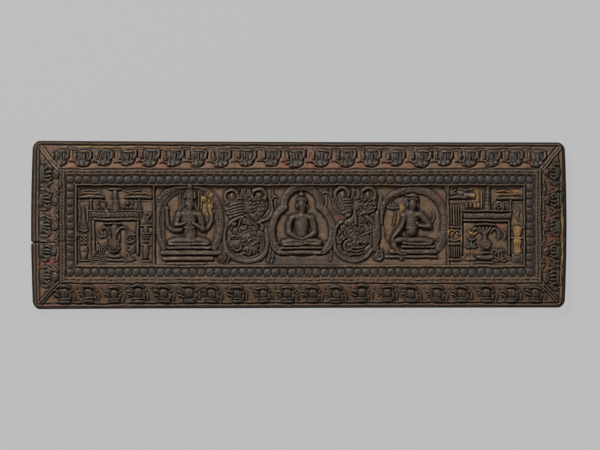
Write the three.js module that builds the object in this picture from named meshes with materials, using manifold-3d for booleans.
// A manuscript cover: one long wooden board, carved in relief on its outer face.
//
// Millimetres. The board lies on its plain inner face at z = 0. +X runs along its length, +Y to the
// top of the carving, and +Z out of the carved face. The relief is drawn on the carver's own grid:
// figures, scrolls and altars are laid out in grid units, and their heights are in millimetres.

import * as THREE from 'three';
import { ConvexGeometry } from 'three/addons/geometries/ConvexGeometry.js';
import { mergeVertices } from 'three/addons/utils/BufferGeometryUtils.js';
import Module from 'manifold-3d';

// Board
const boardLength = 671;
const leftEndWidth = 211;
const waistWidth = 207.5;
const rightEndWidth = 207;
const endBow = 2.5;
const cornerRadius = 7;
const edgeRounding = 2.5;
const boardThickness = 29;
const rimThickness = 17;

// Widths of the bands round the field, from the board's edge inwards
const bands = {
  top: { rim: 4.8, border: 29.6, strip: 6.9, pearls: 11.6, ridge: 1.5 },
  bottom: { rim: 5, border: 26.2, strip: 7.6, pearls: 12.5, ridge: 2.5 },
  left: { rim: 8.4, border: 28.4, strip: 7.1, pearls: 11.9, ridge: 2.3 },
  right: { rim: 5.9, border: 26.4, strip: 8, pearls: 12.5, ridge: 1.9 },
};

// Depths and heights of the bands
const ridgeHeight = 2.5;
const stripHeight = 0.9;
const fieldDepth = 8;
const nicheDepth = 2;
const grooveWidth = 1.6;
const grooveDepth = 1.4;
const ribWidth = 2.2;
const ribGap = 1.4;
const ribHeight = 1.3;

// Pearls and border units
const pearlWidth = 8.8;
const pearlHeight = 3;
const pearlPitch = 10.1;
const garlandPitch = 29.9;
const lotusPitch = 30.6;
const endUnitPitch = 30.8;
const borderRelief = 3;

// Panels of the field
const altarWidth = 95.5;
const nicheWidth = 84.5;
const nicheGap = 2.2;
const haloWidth = 8;
const haloHeight = 2.6;
const bandHeight = 3.2;
const dividerWidth = 1.8;
const dividerHeight = 2;
const buddhaOffset = 3.6;
const scrollShift = 2.6;
const gridUnit = 1.25;
const figureRelief = 8;
const scrollRelief = 4.2;
const altarRelief = 4;

// Split in the wood, run in from the left end
const splitLength = 105;
const splitWidth = 1;
const splitDepth = 4;
const splitDrop = 21;

const sunk = 1;
const ringSides = 16;

// Levels above the inner face
const ridgeLevel = boardThickness;
const frameLevel = ridgeLevel - ridgeHeight;
const fieldLevel = ridgeLevel - fieldDepth;
const nicheLevel = fieldLevel - nicheDepth;
const borderFoot = rimThickness - 0.5;

const wasm = await Module();
wasm.setup();

// A closed geometry as a solid that can be joined and cut.
function solidOf(geometry, place = new THREE.Matrix4()) {
  const bare = geometry.clone().applyMatrix4(place);
  bare.deleteAttribute('normal');
  bare.deleteAttribute('uv');
  const merged = mergeVertices(bare, 1e-4);
  const corners = merged.index.array;
  const triangles = [];
  for (let i = 0; i < corners.length; i += 3) {
    const [a, b, c] = corners.slice(i, i + 3);
    if (a !== b && b !== c && c !== a) {
      triangles.push(a, b, c);
    }
  }
  const mesh = new wasm.Mesh({
    numProp: 3,
    vertProperties: new Float32Array(merged.attributes.position.array),
    triVerts: new Uint32Array(triangles),
  });
  return new wasm.Manifold(mesh);
}

// Joins solids two by two, so that each join stays small.
function joined(solids) {
  if (solids.length === 1) {
    return solids[0];
  }
  const half = Math.ceil(solids.length / 2);
  return joined(solids.slice(0, half)).add(joined(solids.slice(half)));
}

function geometryOf(solid) {
  const mesh = solid.getMesh();
  const geometry = new THREE.BufferGeometry();
  geometry.setAttribute('position', new THREE.BufferAttribute(mesh.vertProperties, 3));
  geometry.setIndex(new THREE.BufferAttribute(mesh.triVerts, 1));
  geometry.computeVertexNormals();
  return geometry;
}

// Carver's forms, in a panel's own frame with its ground at z = 0

function ring(x, y, rx, ry, z, sides) {
  const points = [];
  for (let i = 0; i < sides; i += 1) {
    const angle = (2 * Math.PI * (i + 0.5)) / sides;
    points.push(new THREE.Vector3(x + rx * Math.cos(angle), y + ry * Math.sin(angle), z));
  }
  return points;
}

// A form that rises from a foot on the ground to a crest, both given as [x, y] points.
function rise(foot, crest, high) {
  return new ConvexGeometry([
    ...foot.map(([x, y]) => new THREE.Vector3(x, y, -sunk)),
    ...crest.map(([x, y]) => new THREE.Vector3(x, y, high)),
  ]);
}

// A round boss with a three-sided crown.
function boss(x, y, rx, ry, high, sides = 6, crown = 0.55) {
  return new ConvexGeometry([
    ...ring(x, y, rx, ry, -sunk, sides),
    ...ring(x, y, rx * crown, ry * crown, high, 3),
  ]);
}

// A bar with a crest along its longer way.
function bar(x0, x1, y0, y1, high) {
  const middleX = (x0 + x1) / 2;
  const middleY = (y0 + y1) / 2;
  const lengthwise = x1 - x0 > y1 - y0;
  const crest = lengthwise
    ? [
        [x0 + (y1 - y0) / 2, middleY],
        [x1 - (y1 - y0) / 2, middleY],
      ]
    : [
        [middleX, y0 + (x1 - x0) / 2],
        [middleX, y1 - (x1 - x0) / 2],
      ];
  return rise(corners({ left: x0, right: x1, bottom: y0, top: y1 }), crest, high);
}

// A rounded form, half of it above the ground.
function ball(x, y, rx, ry, high, around = 8, rows = 5) {
  const form = new THREE.SphereGeometry(1, around, rows);
  form.rotateX(Math.PI / 2);
  form.scale(rx, ry, high);
  form.translate(x, y, 0);
  return form;
}

// A straight moulding or slab, its top smaller than its foot by the bevel on each side.
function slab(x0, x1, y0, y1, high, bevel = 0.5) {
  return new ConvexGeometry([
    new THREE.Vector3(x0, y0, -sunk),
    new THREE.Vector3(x1, y0, -sunk),
    new THREE.Vector3(x1, y1, -sunk),
    new THREE.Vector3(x0, y1, -sunk),
    new THREE.Vector3(x0 + bevel, y0 + bevel, high),
    new THREE.Vector3(x1 - bevel, y0 + bevel, high),
    new THREE.Vector3(x1 - bevel, y1 - bevel, high),
    new THREE.Vector3(x0 + bevel, y1 - bevel, high),
  ]);
}

// A limb or stem between two ends, each [x, y, radius, height], with a crest along it.
function limb(start, end, sides = 5) {
  const points = [start, end].flatMap(([x, y, radius, high]) => [
    ...ring(x, y, radius, radius, -sunk, sides),
    new THREE.Vector3(x, y, high),
  ]);
  return new ConvexGeometry(points);
}

function limbs(ends, sides) {
  return ends.slice(1).map((end, i) => limb(ends[i], end, sides));
}

// A leaf from its stalk to its tip, with a rib along it.
function leaf(x, y, length, width, turn, high) {
  const foot = [
    [0, width * 0.2],
    [length * 0.6, width * 0.5],
    [length, 0],
    [length * 0.6, -width * 0.5],
    [0, -width * 0.2],
  ];
  const form = rise(foot, [[length * 0.2, 0], [length * 0.65, 0]], high);
  form.rotateZ(turn);
  form.translate(x, y, 0);
  return form;
}

// A small petal with one high point.
function petal(x, y, length, width, turn, high) {
  const foot = [
    [0, 0],
    [length * 0.6, width * 0.5],
    [length, 0],
    [length * 0.6, -width * 0.5],
  ];
  const form = rise(foot, [[length * 0.55, 0]], high);
  form.rotateZ(turn);
  form.translate(x, y, 0);
  return form;
}

// A band with a crest that follows a curve.
function vine(points, halfWidth, high, steps) {
  const section = new THREE.Shape([
    new THREE.Vector2(sunk, -halfWidth),
    new THREE.Vector2(-high, 0),
    new THREE.Vector2(sunk, halfWidth),
  ]);
  const path = new THREE.CatmullRomCurve3(points.map(([x, y]) => new THREE.Vector3(x, y, 0)));
  return new THREE.ExtrudeGeometry(section, { steps, extrudePath: path });
}

// Points on a spiral round a centre, from one angle in degrees and radius to another.
function spiral(x, y, fromTurn, toTurn, fromRadius, toRadius, count = 9) {
  const points = [];
  for (let i = 0; i < count; i += 1) {
    const share = i / (count - 1);
    const angle = THREE.MathUtils.degToRad(THREE.MathUtils.lerp(fromTurn, toTurn, share));
    const radius = THREE.MathUtils.lerp(fromRadius, toRadius, share);
    points.push([x + radius * Math.cos(angle), y + radius * Math.sin(angle)]);
  }
  return points;
}

function mirrored(points) {
  return [...points, ...points.toReversed().map(([x, y]) => [-x, y])];
}

// Board and bands

// The rectangle inside a band, worked out from the widths of all bands up to it.
function rectangleInside(lastBand, extra = 0) {
  const inset = (side) => {
    const names = Object.keys(bands[side]);
    const kept = names.slice(0, names.indexOf(lastBand) + 1);
    return kept.reduce((sum, name) => sum + bands[side][name], extra);
  };
  return {
    left: -boardLength / 2 + inset('left'),
    right: boardLength / 2 - inset('right'),
    bottom: -waistWidth / 2 + inset('bottom'),
    top: waistWidth / 2 - inset('top'),
  };
}

function corners({ left, right, bottom, top }) {
  return [
    [left, bottom],
    [right, bottom],
    [right, top],
    [left, top],
  ];
}

function boardOutline() {
  const half = boardLength / 2;
  const shape = new THREE.Shape();
  const leftHalf = leftEndWidth / 2;
  const rightHalf = rightEndWidth / 2;
  const cornerX = half - endBow;
  shape.moveTo(-cornerX + cornerRadius, -leftHalf);
  shape.quadraticCurveTo(-half * 0.1, -waistWidth / 2, cornerX - cornerRadius, -rightHalf);
  shape.quadraticCurveTo(cornerX, -rightHalf, cornerX, -rightHalf + cornerRadius);
  shape.quadraticCurveTo(half + endBow, 0, cornerX, rightHalf - cornerRadius);
  shape.quadraticCurveTo(cornerX, rightHalf, cornerX - cornerRadius, rightHalf);
  shape.quadraticCurveTo(-half * 0.1, waistWidth / 2, -cornerX + cornerRadius, leftHalf);
  shape.quadraticCurveTo(-cornerX, leftHalf, -cornerX, leftHalf - cornerRadius);
  shape.quadraticCurveTo(-half - endBow, 0, -cornerX, -leftHalf + cornerRadius);
  shape.quadraticCurveTo(-cornerX, -leftHalf, -cornerX + cornerRadius, -leftHalf);
  return shape;
}

function plank() {
  const form = new THREE.ExtrudeGeometry(boardOutline(), {
    depth: rimThickness - 2 * edgeRounding,
    bevelThickness: edgeRounding,
    bevelSize: edgeRounding,
    bevelOffset: -edgeRounding,
    bevelSegments: 1,
    curveSegments: 4,
  });
  form.translate(0, 0, edgeRounding);
  return solidOf(form);
}

function frameForm(outer, inner, low, high) {
  const toVector = ([x, y]) => new THREE.Vector2(x, y);
  const shape = new THREE.Shape(corners(outer).map(toVector));
  shape.holes.push(new THREE.Path(corners(inner).map(toVector)));
  const form = new THREE.ExtrudeGeometry(shape, { depth: high - low, bevelEnabled: false });
  form.translate(0, 0, low);
  return solidOf(form);
}

function boxForm({ left, right, bottom, top }, low, high) {
  const form = new THREE.BoxGeometry(right - left, top - bottom, high - low);
  form.translate((left + right) / 2, (bottom + top) / 2, (low + high) / 2);
  return solidOf(form);
}

// The border slopes down to the rim on all four sides, mitred at the corners.
function slopedBorder() {
  const foot = corners(rectangleInside('rim', grooveWidth / 2));
  const head = corners(rectangleInside('border'));
  const at = (z) => ([x, y]) => new THREE.Vector3(x, y, z);
  return solidOf(
    new ConvexGeometry([
      ...foot.map(at(rimThickness - 2 * grooveDepth - sunk)),
      ...foot.map(at(borderFoot)),
      ...head.map(at(frameLevel)),
    ]),
  );
}

// A groove centred on the inner edge of a band, cut down from a level.
function groove(bandName, level, shift = 0) {
  const outer = rectangleInside(bandName, shift - grooveWidth / 2);
  const inner = rectangleInside(bandName, shift + grooveWidth / 2);
  return frameForm(outer, inner, level - grooveDepth, level + boardThickness);
}

// Two ribs along the mitre of each corner, with a gap between them.
function mitreRibs() {
  const feet = corners(rectangleInside('rim', grooveWidth * 2));
  const heads = corners(rectangleInside('border', -grooveWidth));
  return feet.flatMap(([footX, footY], i) => {
    const [headX, headY] = heads[i];
    const run = new THREE.Vector2(headX - footX, headY - footY).normalize();
    const across = new THREE.Vector2(-run.y, run.x);
    return [-1, 1].map((side) => {
      const middle = (side * (ribWidth + ribGap)) / 2;
      const rib = [
        [footX, footY, borderFoot],
        [headX, headY, frameLevel],
      ].flatMap(([x, y, z]) =>
        [
          [middle - ribWidth / 2, -sunk],
          [middle + ribWidth / 2, -sunk],
          [middle, ribHeight],
        ].map(([out, up]) => new THREE.Vector3(x + out * across.x, y + out * across.y, z + up)),
      );
      return solidOf(new ConvexGeometry(rib));
    });
  });
}

// Pearls

function spread(from, to, pitch) {
  const gaps = Math.max(1, Math.round((to - from) / pitch));
  return Array.from({ length: gaps + 1 }, (_, i) => from + ((to - from) * i) / gaps);
}

function pearlRows() {
  const outside = rectangleInside('strip');
  const inside = rectangleInside('pearls');
  const left = (outside.left + inside.left) / 2;
  const right = (outside.right + inside.right) / 2;
  const bottom = (outside.bottom + inside.bottom) / 2;
  const top = (outside.top + inside.top) / 2;
  const along = spread(left, right, pearlPitch);
  const across = spread(bottom, top, pearlPitch).slice(1, -1);
  const places = [
    ...along.flatMap((x) => [
      [x, top],
      [x, bottom],
    ]),
    ...across.flatMap((y) => [
      [left, y],
      [right, y],
    ]),
  ];
  const radius = pearlWidth / 2;
  const pearl = limb([0, 0, radius, pearlHeight], [0, 0, radius, pearlHeight], 6);
  return places.map(([x, y]) =>
    solidOf(pearl, new THREE.Matrix4().makeTranslation(x, y, frameLevel)),
  );
}

// Border units, drawn with y towards the board's edge and z square to the slope

function garlandUnit() {
  const up = borderRelief;
  const tassel = mirrored([
    [1.8, 2.8],
    [4.6, -5.6],
    [2.4, -9.4],
  ]);
  return [
    bar(-4.8, 4.8, 3.8, 7.2, up),
    rise(tassel, [[0, -0.6], [0, -6.4]], up),
    petal(9.2, 9, 13.6, 4.2, -1.72, up),
    petal(-9.2, 9, 13.6, 4.2, -1.42, up),
  ];
}

function lotusUnit() {
  const up = borderRelief;
  const jewel = mirrored([
    [2.2, 2.4],
    [4.8, -1.4],
    [2.2, -8.8],
  ]);
  return [
    bar(-6.2, 6.2, 3.4, 8, up),
    rise(jewel, [[0, -0.8], [0, -5.8]], up),
    petal(8.6, 3.4, 10.4, 4.2, -1.5, up * 0.9),
    petal(-8.6, 3.4, 10.4, 4.2, -1.64, up * 0.9),
  ];
}

function endUnit() {
  const up = borderRelief;
  const jewel = mirrored([
    [2.6, 2.4],
    [4.4, -3],
    [2, -8.8],
  ]);
  return [
    bar(-5.4, 5.4, 3.6, 8, up),
    rise(jewel, [[0, -0.6], [0, -5.8]], up),
    petal(8.2, 4.4, 13, 4.4, -1.5, up * 0.9),
    petal(-8.2, 4.4, 13, 4.4, -1.64, up * 0.9),
  ];
}

// Sets units along one side of the border, on its slope.
function borderRun(side, turn, pitch, unit) {
  const outer = rectangleInside('rim');
  const inner = rectangleInside('border');
  const lengthwise = side === 'top' || side === 'bottom';
  const [low, high] = lengthwise ? ['left', 'right'] : ['bottom', 'top'];
  const clear = bands[side].border * 0.75;
  const places = spread(
    (outer[low] + inner[low]) / 2 + clear,
    (outer[high] + inner[high]) / 2 - clear,
    pitch,
  );
  const offset = (outer[side] + inner[side]) / 2;
  const slope = Math.atan2(frameLevel - borderFoot, bands[side].border);
  const pose = new THREE.Matrix4()
    .makeRotationZ(turn)
    .multiply(new THREE.Matrix4().makeRotationX(-slope))
    .multiply(new THREE.Matrix4().makeScale(gridUnit, gridUnit, 1));
  return places.flatMap((place) => {
    const x = lengthwise ? place : offset;
    const y = lengthwise ? offset : place;
    const middle = (frameLevel + borderFoot) / 2;
    const set = new THREE.Matrix4().makeTranslation(x, y, middle).multiply(pose);
    return unit().map((form) => solidOf(form, set));
  });
}

function borderCarving() {
  return [
    ...borderRun('top', 0, garlandPitch, garlandUnit),
    ...borderRun('bottom', Math.PI, lotusPitch, lotusUnit),
    ...borderRun('left', Math.PI / 2, endUnitPitch, endUnit),
    ...borderRun('right', -Math.PI / 2, endUnitPitch, endUnit),
  ];
}

// Figures

// A lotus seat of stacked mouldings, from its top down.
function seat(x0, x1, top, bottom, tiers) {
  const step = (top - bottom) / tiers;
  return Array.from({ length: tiers }, (_, i) => {
    const y = top - i * step;
    const spreadOut = i % 2;
    const high = figureRelief * (0.72 - 0.06 * i);
    return slab(x0 - spreadOut, x1 + spreadOut, y - step + 0.5, y - 0.3, high, 0.6);
  });
}

// Head with its hair; the face is a plain brow, nose and chin of the carver's stock pattern.
function head(x, y, width, height) {
  const half = width / 2;
  const up = figureRelief;
  return [
    ball(x, y, half, height / 2, up, 8, 6),
    limb([x, y + height * 0.1, width * 0.07, up], [x, y - height * 0.12, width * 0.1, up + 0.7], 3),
  ];
}

function crossedLegs(leftKnee, rightKnee, y, thickness) {
  const up = figureRelief * 0.9;
  const middle = (leftKnee + rightKnee) / 2;
  return [
    limb([leftKnee, y, thickness, up * 0.8], [middle + 2, y - 1.4, thickness * 0.7, up]),
    limb([rightKnee, y, thickness, up * 0.8], [middle - 2, y - 1.2, thickness * 0.7, up]),
  ];
}

function disc(x, y, radius, low, high) {
  const form = new THREE.CylinderGeometry(radius, radius, high - low, ringSides);
  form.rotateX(Math.PI / 2);
  form.translate(x, y, (high + low) / 2);
  return form;
}

// A chest and belly, broad at the shoulders and narrow at the waist.
function torso(x, top, bottom, shoulderHalf, waistHalf) {
  const up = figureRelief;
  const shoulderDepth = (top - bottom) * 0.2;
  const waistDepth = (top - bottom) * 0.14;
  const shoulderY = top - shoulderDepth;
  const waistY = bottom + waistDepth;
  return new ConvexGeometry([
    ...ring(x, shoulderY, shoulderHalf, shoulderDepth, -sunk, 6),
    ...ring(x, shoulderY, shoulderHalf * 0.6, shoulderDepth * 0.6, up * 0.95, 4),
    ...ring(x, waistY, waistHalf, waistDepth, -sunk, 6),
    ...ring(x, waistY, waistHalf * 0.6, waistDepth * 0.6, up * 0.85, 4),
  ]);
}

// The middle figure sits in meditation, both hands in the lap.
function meditatingFigure() {
  const up = figureRelief;
  return [
    ...head(0.3, 19.5, 11, 13.5),
    boss(0.3, 27.2, 4.9, 3.2, up * 0.9),
    boss(0.3, 31.2, 2.1, 2.4, up * 0.75),
    limb([0.3, 13, 2.6, up * 0.7], [-0.6, 9, 3, up * 0.8]),
    torso(-0.8, 10.6, -14.6, 11.2, 6.4),
    ...limbs([
      [-11.4, 5.6, 2.9, up * 0.75],
      [-14.2, -5.2, 2.6, up * 0.7],
      [-1.5, -13, 2.2, up],
    ]),
    ...limbs([
      [10.4, 5.6, 2.9, up * 0.75],
      [15.4, -5.2, 2.6, up * 0.7],
      [4, -13, 2.2, up],
    ]),
    ...crossedLegs(-18.4, 18.8, -17.2, 4.2),
    ...seat(-21.6, 20.6, -21.8, -30.4, 3),
    slab(-16, 17, -38.6, -31, figureRelief * 0.35),
  ];
}

// The left figure has four arms: two at the chest, two raised beside the head.
function fourArmedFigure() {
  const up = figureRelief;
  return [
    ...head(0.8, 19.6, 9.6, 11),
    ...[-3.4, 5].map((x) => petal(x, 23, 12, 4.4, Math.PI / 2, up * 0.9)),
    leaf(0.8, 22, 16, 5, Math.PI / 2, up * 0.9),
    torso(-0.2, 14.4, -13.4, 11.6, 5.2),
    ...limbs([
      [-11, 11.4, 2.8, up * 0.8],
      [-13.6, 0.6, 2.5, up * 0.8],
      [-1, 2, 2, up * 1.05],
    ]),
    ...limbs([
      [10.6, 11.4, 2.8, up * 0.8],
      [16, -3.6, 2.5, up * 0.8],
      [1.2, 2.6, 2, up * 1.05],
    ]),
    vine([[-19, 22], [-21.6, 10], [-18.6, 0], [-12, -5.6]], 1.6, up * 0.5, 4),
    vine([[21, 22], [24.6, 10], [22.6, 2], [17, -4]], 1.3, up * 0.4, 4),
    boss(14.7, 26, 3.4, 3.4, up * 0.45),
    boss(22.4, 28.6, 2.6, 2.6, up * 0.4),
    boss(21.2, 17.4, 3, 3, up * 0.4),
    ...crossedLegs(-17.6, 15.6, -16, 4.4),
    ...seat(-27, 25.2, -22.2, -38.6, 4),
  ];
}

// The right figure sits at ease, one leg hanging down over the seat.
function easyFigure() {
  const up = figureRelief;
  return [
    ...head(-0.6, 22.8, 9.4, 14),
    limb([-0.6, 15.6, 2.6, up * 0.8], [-3, 11, 3.4, up * 0.9]),
    torso(-3.2, 12.6, -14, 9.6, 5.8),
    ...limbs([
      [-11.2, 8.4, 2.8, up * 0.8],
      [-14.6, -4, 2.3, up * 0.7],
      [-20, -14.2, 2.2, up * 0.7],
    ]),
    ...limbs([
      [6, 8, 2.6, up * 0.75],
      [17, -4.2, 2.5, up * 0.75],
      [6.2, -2.2, 1.9, up],
    ]),
    limb([-12, -16.2, 4, up * 0.85], [20, -17, 3.4, up * 0.8]),
    limb([14, -19.4, 2.6, up * 0.7], [-8, -19.6, 2.4, up * 0.8]),
    limb([-19.4, -15.6, 3.2, up * 0.8], [-11, -31.6, 2.6, up * 0.8]),
    leaf(-12, -32, 8, 5, -0.3, up * 0.7),
    boss(-19.4, 18, 4.2, 3.4, up * 0.4),
    vine([[-18, 14], [-21, 5], [-20.4, -3]], 1.1, up * 0.3, 4),
    vine([[18.8, 14], [21, 7], [18.2, 0]], 1.1, up * 0.3, 4),
    ...seat(-23, 24.6, -23.2, -36.4, 3),
  ];
}

// Leaf scrolls: two roundels of vine, one over the other, with curled leaves inside.
function leafScroll(flip) {
  const up = scrollRelief;
  const turned = (degrees) => (flip > 0 ? degrees : 180 - degrees);
  const curl = (x, y, from, to, outer, inner) =>
    vine(spiral(x * flip, y, turned(from), turned(to), outer, inner, 6), 1.7, up, 5);
  const spray = (x, y, length, turns) =>
    turns.map((turn) =>
      leaf(x * flip, y, length, 6.4, THREE.MathUtils.degToRad(turned(turn)), up * 0.9),
    );
  return [
    vine(spiral(0.6 * flip, 19.6, turned(262), turned(-58), 18.6, 17.6, 12), 2.3, up, 13),
    vine(spiral(-0.6 * flip, -19, turned(72), turned(408), 20, 19, 12), 2.7, up, 13),
    curl(-8, 28.4, 200, -60, 5.4, 3),
    curl(9.4, 27.6, -20, 240, 5.4, 3),
    curl(3, -24, 160, 400, 8, 4),
    ...spray(0.6, 16.6, 12.4, [-172, -116, -60, -4]),
    ...spray(-3, -10.6, 12, [-190, -130, -70, -12]),
    boss(-24.8 * flip, -32.6, 5, 5, up * 0.9),
    petal(23.4 * flip, -39, 13, 5, Math.PI / 2, up * 0.8),
  ];
}

// Altar: a table between two parasols, a vase of leaves under it, offering stands at the sides.
function altar(flip) {
  const up = altarRelief;
  const parasol = (x) => [
    rise(
      mirrored([
        [12.4, 26.4],
        [4, 30.6],
      ]).map(([dx, y]) => [x + dx, y]),
      [
        [x - 4, 28],
        [x + 4, 28],
      ],
      up * 0.9,
    ),
    bar(x - 1.6, x + 1.6, 14.4, 26, up * 0.6),
  ];
  const stand = (x, low) => [
    boss(x, low + 4, 4.4, 4.4, up * 0.8, 5),
    bar(x - 4.4, x + 4.4, low + 10.4, low + 13.6, up * 0.8),
    bar(x - 3.2, x + 3.2, low + 14.4, low + 25.6, up * 0.7),
    bar(x - 4.6, x + 4.6, low + 28.6, low + 32, up * 0.8),
  ];
  const vase = [
    rise(mirrored([[9, 0.6], [3.2, -7.6]]), [[-4, -1.4], [4, -1.4], [0, -6]], up * 0.8),
    rise(mirrored([[3, -8.4], [5.8, -17], [3, -27]]), [[-1.6, -14], [1.6, -14], [0, -25]], up),
    bar(-9, 9, -31, -27.8, up * 0.7),
    slab(-6.4, 6.2, -37, -31.8, up * 0.8),
  ];
  const bunches = [
    [-14.8, -11],
    [-18.2, -22.4],
    [-13.4, -34.2],
    [15.5, -9.5],
    [16.1, -22.4],
    [16.1, -33.7],
  ];
  return [
    ...parasol(-23.8),
    ...parasol(23.4),
    slab(-27.2, 26.2, 8, 14.7, up),
    bar(-21, 21.1, 4.2, 7.2, up * 0.8),
    bar(-26.1, -22.2, -39, 7.6, up * 0.7),
    bar(21.7, 25.6, -38, 7.6, up * 0.7),
    bar(-4.7, 4.3, 34.4, 37, up * 0.8),
    bar(-1.8, 1.6, 26.6, 34, up * 0.7),
    boss(-0.1, 20.6, 4.6, 5.8, up),
    boss(-11.6, 19.2, 4.8, 4, up * 0.6, 5),
    boss(10.8, 19.4, 4.8, 4, up * 0.6, 5),
    ...vase,
    limb([-6.4, -2.6, 1.4, up * 0.7], [-13, -4.4, 1.2, up * 0.7], 4),
    limb([6.4, -2.6, 1.4, up * 0.7], [13, -4.2, 1.2, up * 0.7], 4),
    ...bunches.map(([x, y]) => boss(x, y, 4.4, 3.8, up * 0.75, 5, 0.3)),
    ...stand(-32.2 * flip, -37.6),
    ...stand(32.4 * flip, -36),
    petal(-32.2 * flip, -1, 15, 6, Math.PI / 2, up * 0.8),
    petal(32.4 * flip, 1, 13, 5, Math.PI / 2, up * 0.6),
  ];
}

// Field

const field = rectangleInside('ridge');
const fieldMiddle = 0;
const leftNicheX = field.left + altarWidth + nicheGap + nicheWidth / 2;
const rightNicheX = field.right - altarWidth - nicheGap - nicheWidth / 2;

function panelPlace(x, level) {
  return new THREE.Matrix4()
    .makeTranslation(x, fieldMiddle, level)
    .scale(new THREE.Vector3(gridUnit, gridUnit, 1));
}

function dividers() {
  return [field.left + altarWidth, field.right - altarWidth].map((x) =>
    boxForm(
      {
        left: x - dividerWidth / 2,
        right: x + dividerWidth / 2,
        bottom: field.bottom - sunk,
        top: field.top + sunk,
      },
      fieldLevel - sunk,
      fieldLevel + dividerHeight,
    ),
  );
}

// The raised discs behind the three figures, and the hollows cut into them for the figures.
function niches() {
  const discs = [];
  const hollows = [];
  const add = (x, y, outer, inner, place, high) => {
    discs.push(solidOf(disc(x, y, outer, -sunk, high), place));
    hollows.push(solidOf(disc(x, y, inner, -nicheDepth, 2 * high), place));
  };
  const middle = panelPlace(buddhaOffset, fieldLevel);
  add(0.3, 21.6, 20.4, 14.6, middle, bandHeight);
  add(-0.2, -4.6, 33.6, 28.2, middle, bandHeight);
  for (const x of [leftNicheX, rightNicheX]) {
    const radius = nicheWidth / 2 / gridUnit;
    add(0, 4.6, radius, radius - haloWidth / gridUnit, panelPlace(x, fieldLevel), haloHeight);
  }
  return { discs, hollows };
}

function fieldCarving() {
  const scrollX = (leftNicheX + buddhaOffset) / 2 + scrollShift;
  const otherScrollX = (rightNicheX + buddhaOffset) / 2 - scrollShift;
  const groups = [
    [altar(1), field.left + altarWidth / 2, fieldLevel],
    [altar(-1), field.right - altarWidth / 2, fieldLevel],
    [fourArmedFigure(), leftNicheX, nicheLevel],
    [meditatingFigure(), buddhaOffset, nicheLevel],
    [easyFigure(), rightNicheX, nicheLevel],
    [leafScroll(1), scrollX, fieldLevel],
    [leafScroll(-1), otherScrollX, fieldLevel],
  ];
  return groups.flatMap(([forms, x, level]) => {
    const place = panelPlace(x, level);
    return forms.map((form) => solidOf(form, place));
  });
}

// A narrow wedge cut in from the left end, deepest at the edge.
function split() {
  const edge = -boardLength / 2 - endBow;
  const tip = -boardLength / 2 + splitLength;
  const mouth = [-splitWidth, splitWidth].flatMap((y) => [
    new THREE.Vector3(edge, y - splitDrop, rimThickness - splitDepth * 2),
    new THREE.Vector3(edge, y - splitDrop, boardThickness),
  ]);
  const end = [
    new THREE.Vector3(tip, -splitDrop, frameLevel - splitDepth),
    new THREE.Vector3(tip, -splitDrop, boardThickness + splitDepth),
  ];
  return solidOf(new ConvexGeometry([...mouth, ...end]));
}

function carvedBoard() {
  const { discs, hollows } = niches();
  const pocket = boxForm(field, fieldLevel, 2 * boardThickness);
  const strip = frameForm(
    rectangleInside('border'),
    rectangleInside('strip'),
    frameLevel - sunk,
    frameLevel + stripHeight,
  );
  const ridge = frameForm(
    rectangleInside('pearls'),
    rectangleInside('pearls', grooveWidth),
    frameLevel - sunk,
    ridgeLevel,
  );
  const ground = joined([plank().subtract(groove('rim', rimThickness)), slopedBorder(), strip, ridge])
    .subtract(groove('border', frameLevel, grooveWidth / 2))
    .subtract(pocket);
  const panels = joined([ground, ...dividers(), ...discs]).subtract(joined(hollows));
  return joined([
    panels,
    ...mitreRibs(),
    ...pearlRows(),
    ...borderCarving(),
    ...fieldCarving(),
  ]).subtract(split());
}

const wood = new THREE.MeshStandardMaterial({
  name: 'carved_wood',
  color: new THREE.Color(0.27, 0.21, 0.16),
  roughness: 0.62,
  metalness: 0,
});

const cover = new THREE.Mesh(geometryOf(carvedBoard()), wood);
cover.name = 'carved_cover';

const group = new THREE.Group();
group.add(cover);

export default group;
